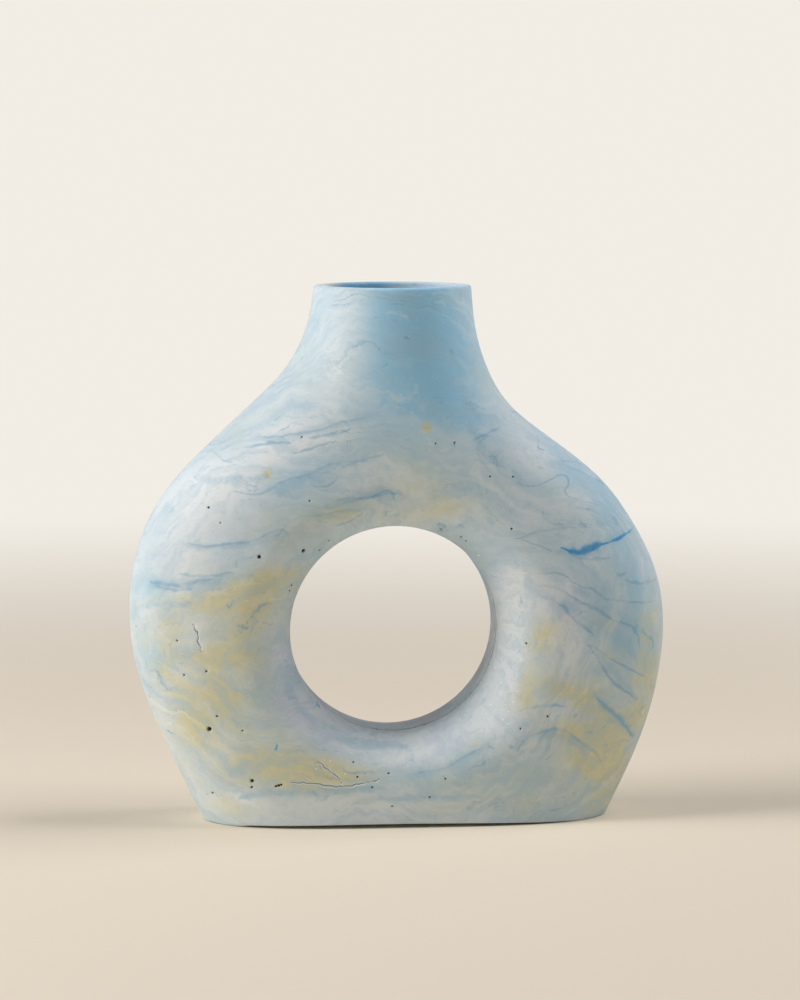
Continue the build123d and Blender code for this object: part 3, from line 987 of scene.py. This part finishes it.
def casting(name, form, front):
    """One half of the casting: its closed wall, with dents, grooves and chips sunk into the outer face.

    Every mark sinks the face along its own normal. At the hole's seam the face falls back by
    SEAM_FALL * exp(-(distance from the seam) / SEAM_FADE).
    """
    columns = Columns(form, FINE)
    middle = (WEAR_RIGHT - WEAR_LEFT) / 2
    half_chord = (WEAR_RIGHT + WEAR_LEFT) / 2

    def rise(x, depth):
        arc = np.clip(1 - ((x - middle) / half_chord) ** 2, 0, 1)
        run_out = np.clip((depth - form.half_depth + WEAR_REACH) / WEAR_RUN_OUT, 0, 1)
        return form.wear_rise * arc * run_out * front

    rounding = form.hole_front_round if front else form.hole_back_round
    loop, outer_rows = columns.wall_loop(rounding, rise)
    loop[..., 1] *= -1 if front else 1
    normals = grid_normals(loop)[:, :outer_rows] * (1 if front else -1)
    outer = loop[:, :outer_rows].reshape(-1, 3)

    fields = {field: stroke_offset(outer, *strokes) for field, strokes in STROKE_FIELDS.items()}
    # The seam chips join the pinholes, so they also take the pinholes' painted shade.
    pinholes = np.concatenate([PINHOLES if front else back_pinholes(form), seam_chips(form)])
    fields["pit"], sunk = pinhole_offset(outer, pinholes)
    fields["fleck"] = pinhole_offset(outer * (1, 0, 1), FLECKS)[0] if front else np.full(len(outer), FAR)
    sunk = np.maximum(sunk, GROOVE_DEPTH * (1 - smooth_step(*GROOVE_EDGE, fields["groove"])))
    on_hole = form.from_hole(outer[:, 0], outer[:, 2]) < form.hole_radius + ON_WALL
    off_seam = np.abs(outer[:, 1]) - form.bond_gap / 2
    sunk += SEAM_FALL * np.exp(-off_seam / SEAM_FADE) * on_hole
    busy = (sunk > FINE_DENT) & (off_seam > SEAM_MARGIN)
    for field, reach in FINE_REACH.items():
        busy |= fields[field] < reach

    full = loop.shape[:2]
    shape = (full[0], outer_rows)
    loop[:, :outer_rows] -= normals * sunk.reshape(shape)[..., None]
    flagged = np.zeros(full, dtype=bool)
    flagged[:, : outer_rows - 1] = busy.reshape(shape)[:, :-1]
    flagged = flagged.reshape(full[0] // FINE, FINE, full[1] // FINE, FINE).any(axis=(1, 3))
    for field in fields:
        whole = np.full(full, FAR)
        whole[:, :outer_rows] = fields[field].reshape(shape)
        fields[field] = whole.ravel()
    faces = refined_faces(flagged)
    if not front:
        faces = turned_over(faces)

    def paint(points):
        return {"flow": pour_flow(points, form), **tints(points, form)}

    return put_mesh(name, loop.reshape(-1, 3), faces, fields, paint)


def bond_mesh(name, form):
    """The bond: a flat band round the outline from rim to rim, and a flat ring round the hole.

    Both are the wall's section on the middle plane, half the gap to each side of it, set back a little
    from the outside. Each is four rows of corners, one for each edge of its section.
    """
    columns = Columns(form, 1)
    sides = ~columns.on_rim
    sides[columns.on_rim.nonzero()[0][-1]] = True
    order = np.r_[np.nonzero(sides)[0], 0]
    strips = []
    for inset, bottom in ((BOND_SETBACK, BOND_SETBACK), (form.wall, form.floor_thickness)):
        x, z, _ = columns.boundary(inset, bottom, form.overall_height - BOND_SETBACK)
        strips.append(np.stack([x[order], z[order]], axis=1))
    turn = np.linspace(0, 2 * np.pi, RING_POINTS + 1)[:-1]
    around = np.stack([np.sin(turn), np.cos(turn)], axis=1)
    centre = (form.hole_centre, form.hole_height)
    rings = [centre + (form.hole_radius + inset) * around for inset in (form.wall, BOND_SETBACK)]

    points, faces, first = [], [], 0
    for outside, inside, closed in ((*strips, False), (*rings, True)):
        count = len(outside)
        corners = np.zeros((count, 4, 3))
        corners[:, :2, ::2] = outside[:, None]
        corners[:, 2:, ::2] = inside[:, None]
        corners[:, (0, 3), 1] = -form.bond_gap / 2
        corners[:, (1, 2), 1] = form.bond_gap / 2
        i, j = np.meshgrid(np.arange(count if closed else count - 1), np.arange(4), indexing="ij")
        i, j = i.ravel(), j.ravel()
        after = (i + 1) % count
        side = (j + 1) % 4
        faces.append(first + np.stack([i * 4 + j, after * 4 + j, after * 4 + side, i * 4 + side], axis=1))
        if not closed:
            ends = [[0, 1, 2, 3], [4 * count - 1, 4 * count - 2, 4 * count - 3, 4 * count - 4]]
            faces.append(first + np.array(ends))
        points.append(corners.reshape(-1, 3))
        first += 4 * count
    return put_mesh(name, np.concatenate(points), turned_over(np.concatenate(faces)))


# Materials

# Sockets that share a name with others of their node, by number: the ends of Map Range before and after,
# and the two colours and the result of Mix
FROM_LOW, FROM_HIGH, TO_LOW, TO_HIGH = 1, 2, 3, 4
UNDER, OVER, MIXED = 6, 7, 2
SMOOTH = {"interpolation_type": "SMOOTHSTEP"}

# Patterns of the marbling: the coordinates, how many features a unit of each holds, detail, roughness and
# distortion. Along and frayed coordinates run with the pour: a unit of the first two is about a sixth of
# a turn, and of the third 1 mm. A unit of the others is 1 mm. The plaster's own grain is under 0.1 mm, too
# fine to show, and is drawn at about 0.7 mm.
PATTERNS = {
    "veil": ("along", (1.2, 1.2, 0.045), 3, 0.5, 0.3),
    "wisp": ("frayed", (2.2, 2.2, 0.13), 5, 0.58, 0.2),
    "fine": ("frayed", (3.4, 3.4, 0.30), 5, 0.62, 0.0),
    "streak": ("frayed", (4.4, 4.4, 0.60), 5, 0.60, 0.0),
    "patchy": ("over", (0.05, 0.05, 0.05), 2, 0.5, 0.0),
    "cloud": ("over", (0.034, 0.034, 0.034), 4, 0.5, 0.4),
    "smear": ("over", (0.05, 0.05, 0.10), 4, 0.55, 0.4),
    "mottle": ("over", (0.22, 0.22, 0.22), 4, 0.6, 0.0),
    "grain": ("over", (1.5, 1.5, 1.5), 3, 0.6, 0.0),
}
# Size of the features that fray the finer patterns, in mm, and how far they push each coordinate
FRAY_SIZE = 8
FRAY_PUSH = (0.6, 0.6, 8.0)
# Masks: the pattern, the two values between which the mask goes from none to its weight, and that weight
MASKS = {
    "veil": ("veil", 0.42, 0.70, 0.60),
    "pale": ("veil", 0.52, 0.32, 0.60),
    "wisp": ("wisp", 0.47, 0.70, 0.38),
    "green": ("cloud", 0.44, 0.66, 0.45),
    "fine": ("fine", 0.44, 0.68, 0.40),
    "bright": ("fine", 0.48, 0.30, 0.32),
    "streak": ("streak", 0.57, 0.72, 0.75),
    "patchy": ("patchy", 0.42, 0.62, 1.0),
    "thread": ("wisp", 0.34, 0.60, 1.0),
    "blotch": ("smear", 0.34, 0.62, 1.0),
}
# Soft tints: the mask that breaks the patch up, how much is left where that mask is none, and the gain
TINTS = {
    "straw": ("blotch", 0.5, 1.4),
    "sky": ("thread", 0.55, 1.0),
    "lilac": ("thread", 0.4, 1.1),
    "milk": ("thread", 0.4, 1.1),
    "grey": ("thread", 0.4, 0.9),
    # The rose is a painted reflection of warm bounce light low in the hole.
    "rose_reflection": ("blotch", 0.5, 0.6),
    "amber": ("blotch", 0.7, 1.0),
    "deep": ("blotch", 0.6, 1.0),
    "teal": ("thread", 0.3, 1.2),
}
# Drawn marks: the field, the offset where the mark has gone, the offset where it is full, its weight, and
# how ragged its edge is. Those more ragged than the number below also thin out where the wisps are thin.
MARKS = {
    "wash": ("wash", 2.2, 0.0, 0.50, 1.0),
    "halo": ("blue", 5.0, 0.5, 0.25, 1.0),
    "blue": ("blue", 1.6, 0.3, 0.85, 0.45),
    "vein": ("vein", 2.2, 0.0, 0.58, 0.6),
    "core": ("blue", 0.9, 0.0, 0.45, 0.9),
    "fleck": ("fleck", 1.3, 0.6, 0.9, 0.0),
    "line": ("line", 2.2, 0.0, 0.62, 0.6),
    "edge": ("groove", 3.2, 1.6, 0.70, 0.0),
    "groove": ("groove", 1.3, 0.4, 0.66, 0.0),
    # The pit mark is painted shade, nearly black, in the pinholes and in the chips along the hole's seam.
    "pit": ("pit", 1.25, 0.5, 1.0, 0.0),
}
THINNING_RAGGEDNESS = 0.5
# Layers from the body up: the mask and the colour that it lays on
# The rose layer is a painted reflection of warm bounce light low in the hole.
LAYERS = (
    ("veil", "veil"), ("pale", "milk"), ("green", "grey"), ("grey", "grey"), ("sky", "sky"),
    ("lilac", "lilac"), ("deep", "deep"), ("straw", "straw"), ("rose_reflection", "rose_reflection"), ("wisp", "wisp"),
    ("milk", "milk"), ("teal", "wash"), ("amber", "amber"), ("bright", "milk"), ("fine", "wisp"),
    ("wash", "wash"), ("streak", "line"), ("line", "line"), ("vein", "vein"), ("halo", "sky"),
    ("blue", "blue"), ("core", "core"), ("edge", "milk"), ("groove", "groove"), ("fleck", "fleck"),
    ("pit", "pinhole"),
)


# Features per metre of the adhesive's grain, of the sealer's brush marks round the wall and up it, and of
# its clouds. The grain is 1.1 mm, the marks are 25 mm long and 1.1 mm apart, and the clouds are 33 mm.
SLIP_GRAIN = 900.0
BRUSH_MARKS = (40.0, 40.0, 900.0)
SEALER_CLOUD = 30.0


def linear(code):
    """Linear colour of an sRGB hex value: a straight foot, then a power of 2.4."""
    values = np.array([int(code[place : place + 2], 16) for place in (0, 2, 4)]) / 255
    return (*np.where(values <= 0.04045, values / 12.92, ((values + 0.055) / 1.055) ** 2.4), 1.0)


def add(tree, kind, settings=None, links=None, out=0):
    """Add a node, set its properties, then its input values, link its inputs, and return one output."""
    node = tree.nodes.new("ShaderNode" + kind)
    inputs = {}
    for name, value in (settings or {}).items():
        if isinstance(name, str) and hasattr(node, name):
            setattr(node, name, value)
        else:
            inputs[name] = value
    for name, value in inputs.items():
        node.inputs[name].default_value = value
    for name, socket in (links or {}).items():
        tree.links.new(socket, node.inputs[name])
    return node.outputs[out] if node.outputs else None


def fresh_tree(name):
    """A new material with an empty tree."""
    material = bpy.data.materials.new(name)
    material.use_nodes = True
    material.node_tree.nodes.clear()
    return material, material.node_tree


def marbling_patterns(tree):
    """Noise of every pattern. The finer ones are frayed by a coarse noise, so that no line runs on far."""
    place = add(tree, "TexCoord", out="Object")
    along = add(tree, "Attribute", {"attribute_name": "flow"}, out="Vector")
    over = add(tree, "VectorMath", {"operation": "SCALE", "Scale": 1 / TO_METRES}, {0: place})
    coarse = add(tree, "VectorMath", {"operation": "SCALE", "Scale": 1 / FRAY_SIZE}, {0: over})
    fray = add(tree, "TexNoise", {"Scale": 1.0, "Detail": 4.0, "Roughness": 0.6}, {"Vector": coarse}, "Color")
    settings = {"operation": "MULTIPLY_ADD", 1: FRAY_PUSH}
    sources = {"along": along, "over": over, "frayed": add(tree, "VectorMath", settings, {0: fray, 2: along})}
    noise = {}
    for name, (source, stretch, detail, roughness, distortion) in PATTERNS.items():
        vector = add(tree, "VectorMath", {"operation": "MULTIPLY", 1: stretch}, {0: sources[source]})
        settings = {"Scale": 1.0, "Detail": detail, "Roughness": roughness, "Distortion": distortion}
        noise[name] = add(tree, "TexNoise", settings, {"Vector": vector})
    return noise


def pattern_masks(tree, noise):
    """Masks of the patterns, with the streaks only in patches, and of the soft tints that they break up."""
    mask = {}
    for name, (source, low, high, weight) in MASKS.items():
        settings = {**SMOOTH, FROM_LOW: low, FROM_HIGH: high, TO_LOW: 0.0, TO_HIGH: weight}
        mask[name] = add(tree, "MapRange", settings, {0: noise[source]})
    mask["streak"] = add(tree, "Math", {"operation": "MULTIPLY"}, {0: mask["streak"], 1: mask["patchy"]})
    for name, (break_up, least, gain) in TINTS.items():
        spread = add(tree, "MapRange", {TO_LOW: least * gain, TO_HIGH: gain}, {0: mask[break_up]})
        patch = add(tree, "Attribute", {"attribute_name": name}, out="Fac")
        mask[name] = add(tree, "Math", {"operation": "MULTIPLY", "use_clamp": True}, {0: patch, 1: spread})
    return mask


def mark_masks(tree, noise):
    """Masks of the drawn marks, which fade out across their width."""
    settings = {FROM_LOW: 0.3, FROM_HIGH: 0.7, TO_LOW: -0.8, TO_HIGH: 0.8, "clamp": False}
    ragged = add(tree, "MapRange", settings, {0: noise["mottle"]})
    settings = {FROM_LOW: 0.40, FROM_HIGH: 0.56, TO_LOW: 0.30, TO_HIGH: 1.0}
    fullness = add(tree, "MapRange", settings, {0: noise["wisp"]})
    mask = {}
    for name, (source, gone, full, weight, raggedness) in MARKS.items():
        offset = add(tree, "Attribute", {"attribute_name": source}, out="Fac")
        if raggedness:
            offset = add(tree, "Math", {"operation": "MULTIPLY_ADD", 1: raggedness}, {0: ragged, 2: offset})
        settings = {**SMOOTH, FROM_LOW: gone, FROM_HIGH: full, TO_LOW: 0.0, TO_HIGH: weight}
        mask[name] = add(tree, "MapRange", settings, {0: offset})
        if raggedness > THINNING_RAGGEDNESS:
            mask[name] = add(tree, "Math", {"operation": "MULTIPLY"}, {0: mask[name], 1: fullness})
    return mask


def marbled_plaster(colours):
    """Matt cast mineral plaster, marbled by pouring tinted batches into one another.

    It is polymer-bound gypsum, demoulded and lightly sanded: matt, faintly chalky, with a fine grain
    and no gloss. Its pale body carries veils, wisps and thin strokes of pigment that run with the pour.
    """
    material, tree = fresh_tree("marbled_cast_plaster")
    noise = marbling_patterns(tree)
    mask = {**pattern_masks(tree, noise), **mark_masks(tree, noise)}
    colour = add(tree, "RGB")
    colour.default_value = linear(colours.body)
    for name, tint in LAYERS:
        settings = {"data_type": "RGBA", OVER: linear(getattr(colours, tint))}
        colour = add(tree, "Mix", settings, {0: mask[name], UNDER: colour}, MIXED)
    settings = {FROM_LOW: 0.3, FROM_HIGH: 0.7, TO_LOW: 0.62, TO_HIGH: 0.76}
    rough = add(tree, "MapRange", settings, {0: noise["mottle"]})
    height = add(tree, "Math", {"operation": "MULTIPLY_ADD", 1: 0.6}, {0: noise["mottle"], 2: noise["grain"]})
    bump = add(tree, "Bump", {"Strength": 0.18, "Distance": 0.0004}, {"Height": height})
    links = {"Base Color": colour, "Roughness": rough, "Normal": bump}
    add(tree, "OutputMaterial", None, {"Surface": add(tree, "BsdfPrincipled", {"IOR": 1.45}, links)})
    return material


def bonding_slip(colours):
    """Mineral adhesive, brushed on and wiped off: matt, grey, a little darker where it has pulled back."""
    material, tree = fresh_tree("mineral_bonding_slip")
    place = add(tree, "TexCoord", out="Object")
    mottle = add(tree, "TexNoise", {"Scale": SLIP_GRAIN, "Detail": 3.0}, {"Vector": place})
    settings = {"data_type": "RGBA", UNDER: linear(colours.groove), OVER: linear(colours.bond)}
    colour = add(tree, "Mix", settings, {0: mottle}, MIXED)
    bump = add(tree, "Bump", {"Strength": 0.3, "Distance": 0.0002}, {"Height": mottle})
    shader = add(tree, "BsdfPrincipled", {"Roughness": 0.85}, {"Base Color": colour, "Normal": bump})
    add(tree, "OutputMaterial", None, {"Surface": shader})
    return material


def sealing_varnish(colours):
    """Water-based acrylic sealer, brushed over the inside.

    It is satin, with the plaster's colour showing through and faint brush marks round the wall.
    """
    material, tree = fresh_tree("brushed_acrylic_sealer")
    place = add(tree, "TexCoord", out="Object")
    brushed = add(tree, "VectorMath", {"operation": "MULTIPLY", 1: BRUSH_MARKS}, {0: place})
    marks = add(tree, "TexNoise", {"Scale": 1.0, "Detail": 3.0}, {"Vector": brushed})
    cloud = add(tree, "TexNoise", {"Scale": SEALER_CLOUD, "Detail": 4.0}, {"Vector": place})
    settings = {"data_type": "RGBA", UNDER: linear(colours.body), OVER: linear(colours.sky)}
    colour = add(tree, "Mix", settings, {0: cloud}, MIXED)
    settings = {FROM_LOW: 0.3, FROM_HIGH: 0.7, TO_LOW: 0.30, TO_HIGH: 0.45}
    rough = add(tree, "MapRange", settings, {0: marks})
    bump = add(tree, "Bump", {"Strength": 0.15, "Distance": 0.0003}, {"Height": marks})
    links = {"Base Color": colour, "Roughness": rough, "Normal": bump}
    add(tree, "OutputMaterial", None, {"Surface": add(tree, "BsdfPrincipled", {"IOR": 1.49}, links)})
    return material


def pale_floor(colours):
    """Plain matt floor, which fades into the backdrop's colour with distance."""
    material, tree = fresh_tree("pale_floor")
    place = add(tree, "TexCoord", out="Object")
    length = add(tree, "VectorMath", {"operation": "LENGTH"}, {0: place}, "Value")
    far = add(tree, "MapRange", {**SMOOTH, FROM_LOW: FLOOR_FADE[0], FROM_HIGH: FLOOR_FADE[1]}, {0: length})
    shader = add(tree, "BsdfPrincipled", {"Base Color": linear(colours.floor), "Roughness": 0.9})
    glow = add(tree, "Emission", {"Color": linear(colours.backdrop), "Strength": 1.0})
    mixed = add(tree, "MixShader", None, {0: far, 1: shader, 2: glow})
    add(tree, "OutputMaterial", None, {"Surface": mixed})
    return material


# Stage

# Distances from the vase between which the floor fades into the backdrop, and the floor's radius, in
# metres, with its rings of quads and the quads in each
FLOOR_FADE = (0.26, 1.15)
FLOOR_RADIUS = 3.2
FLOOR_RINGS = 24
FLOOR_SIDES = 96

# The photograph's camera: where it stands, how far it looks down and to the right, and its lens
CAMERA_PLACE = (-0.143, -1.493, 0.2702)
CAMERA_DOWN = 5.709
CAMERA_YAW = 5.5
CAMERA_LENS = 143.6
CAMERA_SENSOR = 36
CAMERA_REACH = 30

# Lights: name, where it stands in metres, size, power and colour. The main one stands to the left, the
# other above to the right. Both point at the middle of the vase.
LIGHTS = (
    ("main_light", (-1.36, -0.22, 0.86), 0.75, 18.5, "FFFCFB"),
    ("side_light", (0.84, -0.02, 1.25), 0.90, 10.5, "FFFDFE"),
)
AIM = (0.0, 0.0, 0.10)
FILL_STRENGTH = 0.165


def floor_mesh():
    """Flat round floor: rings of quads that widen with the square of their number, round a middle disc."""
    turn = np.linspace(0, 2 * np.pi, FLOOR_SIDES + 1)[:-1]
    ring = (np.arange(1, FLOOR_RINGS + 1) / FLOOR_RINGS) ** 2 * FLOOR_RADIUS / TO_METRES
    across = np.stack([np.sin(turn), -np.cos(turn), np.zeros(FLOOR_SIDES)], axis=1)
    points = (ring[:, None, None] * across).reshape(-1, 3)
    i, j = np.meshgrid(np.arange(FLOOR_RINGS - 1), np.arange(FLOOR_SIDES), indexing="ij")
    near, j = i.ravel() * FLOOR_SIDES, j.ravel()
    far = near + FLOOR_SIDES
    after = (j + 1) % FLOOR_SIDES
    faces = np.full((len(near) + 1, FLOOR_SIDES), -1)
    faces[:-1, :4] = np.stack([near + j, far + j, far + after, near + after], axis=1)
    faces[-1] = np.arange(FLOOR_SIDES)
    return put_mesh("floor", points, faces)


def studio_world(colours):
    """Faint cool light from all round, which the camera and glossy surfaces see as the plain backdrop."""
    world = bpy.data.worlds.new("studio")
    world.use_nodes = True
    tree = world.node_tree
    tree.nodes.clear()
    path = add(tree, "LightPath").node.outputs
    seen = add(tree, "Math", {"operation": "ADD"}, {0: path["Is Camera Ray"], 1: path["Is Glossy Ray"]})
    settings = {"operation": "ADD", "use_clamp": True}
    seen = add(tree, "Math", settings, {0: seen, 1: path["Is Transmission Ray"]})
    light = add(tree, "Background", {"Color": linear(colours.fill), "Strength": FILL_STRENGTH})
    backdrop = add(tree, "Background", {"Color": linear(colours.backdrop), "Strength": 1.0})
    mixed = add(tree, "MixShader", None, {0: seen, 1: light, 2: backdrop})
    add(tree, "OutputWorld", None, {"Surface": mixed})
    return world


def put_light(scene, name, place, size, power, tint):
    """A soft round light that points at the middle of the vase."""
    light = bpy.data.lights.new(name, "AREA")
    light.shape = "DISK"
    light.size = size
    light.energy = power
    light.color = linear(tint)[:3]
    lamp = bpy.data.objects.new(name, light)
    lamp.location = place
    way = mathutils.Vector(AIM) - mathutils.Vector(place)
    lamp.rotation_euler = way.to_track_quat("-Z", "Y").to_euler()
    scene.collection.objects.link(lamp)


def put_camera(scene):
    """The photograph's camera."""
    camera = bpy.data.cameras.new("photo_camera")
    camera.lens = CAMERA_LENS
    camera.sensor_width = CAMERA_SENSOR
    camera.clip_end = CAMERA_REACH
    holder = bpy.data.objects.new("photo_camera", camera)
    holder.location = CAMERA_PLACE
    holder.rotation_euler = (np.radians(90 - CAMERA_DOWN), 0, np.radians(-CAMERA_YAW))
    scene.collection.objects.link(holder)
    scene.camera = holder


# Operators


def dress(context, piece, node, make_material):
    """Give a piece its material, slot and body, and let it stand for its CAD node."""
    piece.data.materials.append(make_material(context.scene.vase_colours))
    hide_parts(node)
    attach(piece, "root")


class VASE_OT_castings(bpy.types.Operator):
    """Make the front and the back half of the casting"""

    bl_idname = "vase.castings"
    bl_label = "Castings"

    def execute(self, context):
        form = Form(context.scene.vase_sizes)
        for name, node in (("front_casting", "front_shell"), ("back_casting", "back_shell")):
            piece = casting(name, form, node == "front_shell")
            dress(context, piece, node, marbled_plaster)
        return {"FINISHED"}


class VASE_OT_bond(bpy.types.Operator):
    """Make the bond between the halves"""

    bl_idname = "vase.bond"
    bl_label = "Bond"

    def execute(self, context):
        piece = bond_mesh("bond", Form(context.scene.vase_sizes))
        dress(context, piece, "seam_bond", bonding_slip)
        return {"FINISHED"}


class VASE_OT_sealing_film(bpy.types.Operator):
    """Finish the sealing film, whose solid keeps its own shape"""

    bl_idname = "vase.sealing_film"
    bl_label = "Sealing film"

    def execute(self, context):
        film = bpy.data.objects["sealing_film"]
        film.data.materials.clear()
        film.data.materials.append(sealing_varnish(context.scene.vase_colours))
        return {"FINISHED"}


class VASE_OT_stage(bpy.types.Operator):
    """Make the floor, the backdrop, the lights and the camera"""

    bl_idname = "vase.stage"
    bl_label = "Stage"

    def execute(self, context):
        scene = context.scene
        floor = floor_mesh()
        floor.data.materials.append(pale_floor(scene.vase_colours))
        for light in LIGHTS:
            put_light(scene, *light)
        scene.world = studio_world(scene.vase_colours)
        put_camera(scene)
        scene.view_settings.view_transform = "Standard"
        return {"FINISHED"}


class VASE_PT_panel(bpy.types.Panel):
    """Sizes, colours and steps of the vase"""

    bl_label = "Donut Vase"
    bl_idname = "VASE_PT_panel"
    bl_space_type = "VIEW_3D"
    bl_region_type = "UI"
    bl_category = "Vase"

    def draw(self, context):
        layout = self.layout
        for group in (context.scene.vase_sizes, context.scene.vase_colours):
            box = layout.box()
            for name in type(group).__annotations__:
                box.prop(group, name)
        for operator in OPERATORS:
            layout.operator(operator.bl_idname)


OPERATORS = (VASE_OT_castings, VASE_OT_bond, VASE_OT_sealing_film, VASE_OT_stage)
CLASSES = (VaseSizes, VaseColours, *OPERATORS, VASE_PT_panel)


def register():
    for item in CLASSES:
        bpy.utils.register_class(item)
    bpy.types.Scene.vase_sizes = PointerProperty(type=VaseSizes)
    bpy.types.Scene.vase_colours = PointerProperty(type=VaseColours)


def unregister():
    del bpy.types.Scene.vase_colours
    del bpy.types.Scene.vase_sizes
    for item in reversed(CLASSES):
        bpy.utils.unregister_class(item)


def main():
    """Make every piece and the stage."""
    register()
    bpy.ops.vase.castings()
    bpy.ops.vase.bond()
    bpy.ops.vase.sealing_film()
    bpy.ops.vase.stage()


if __name__ == "__main__":
    main()
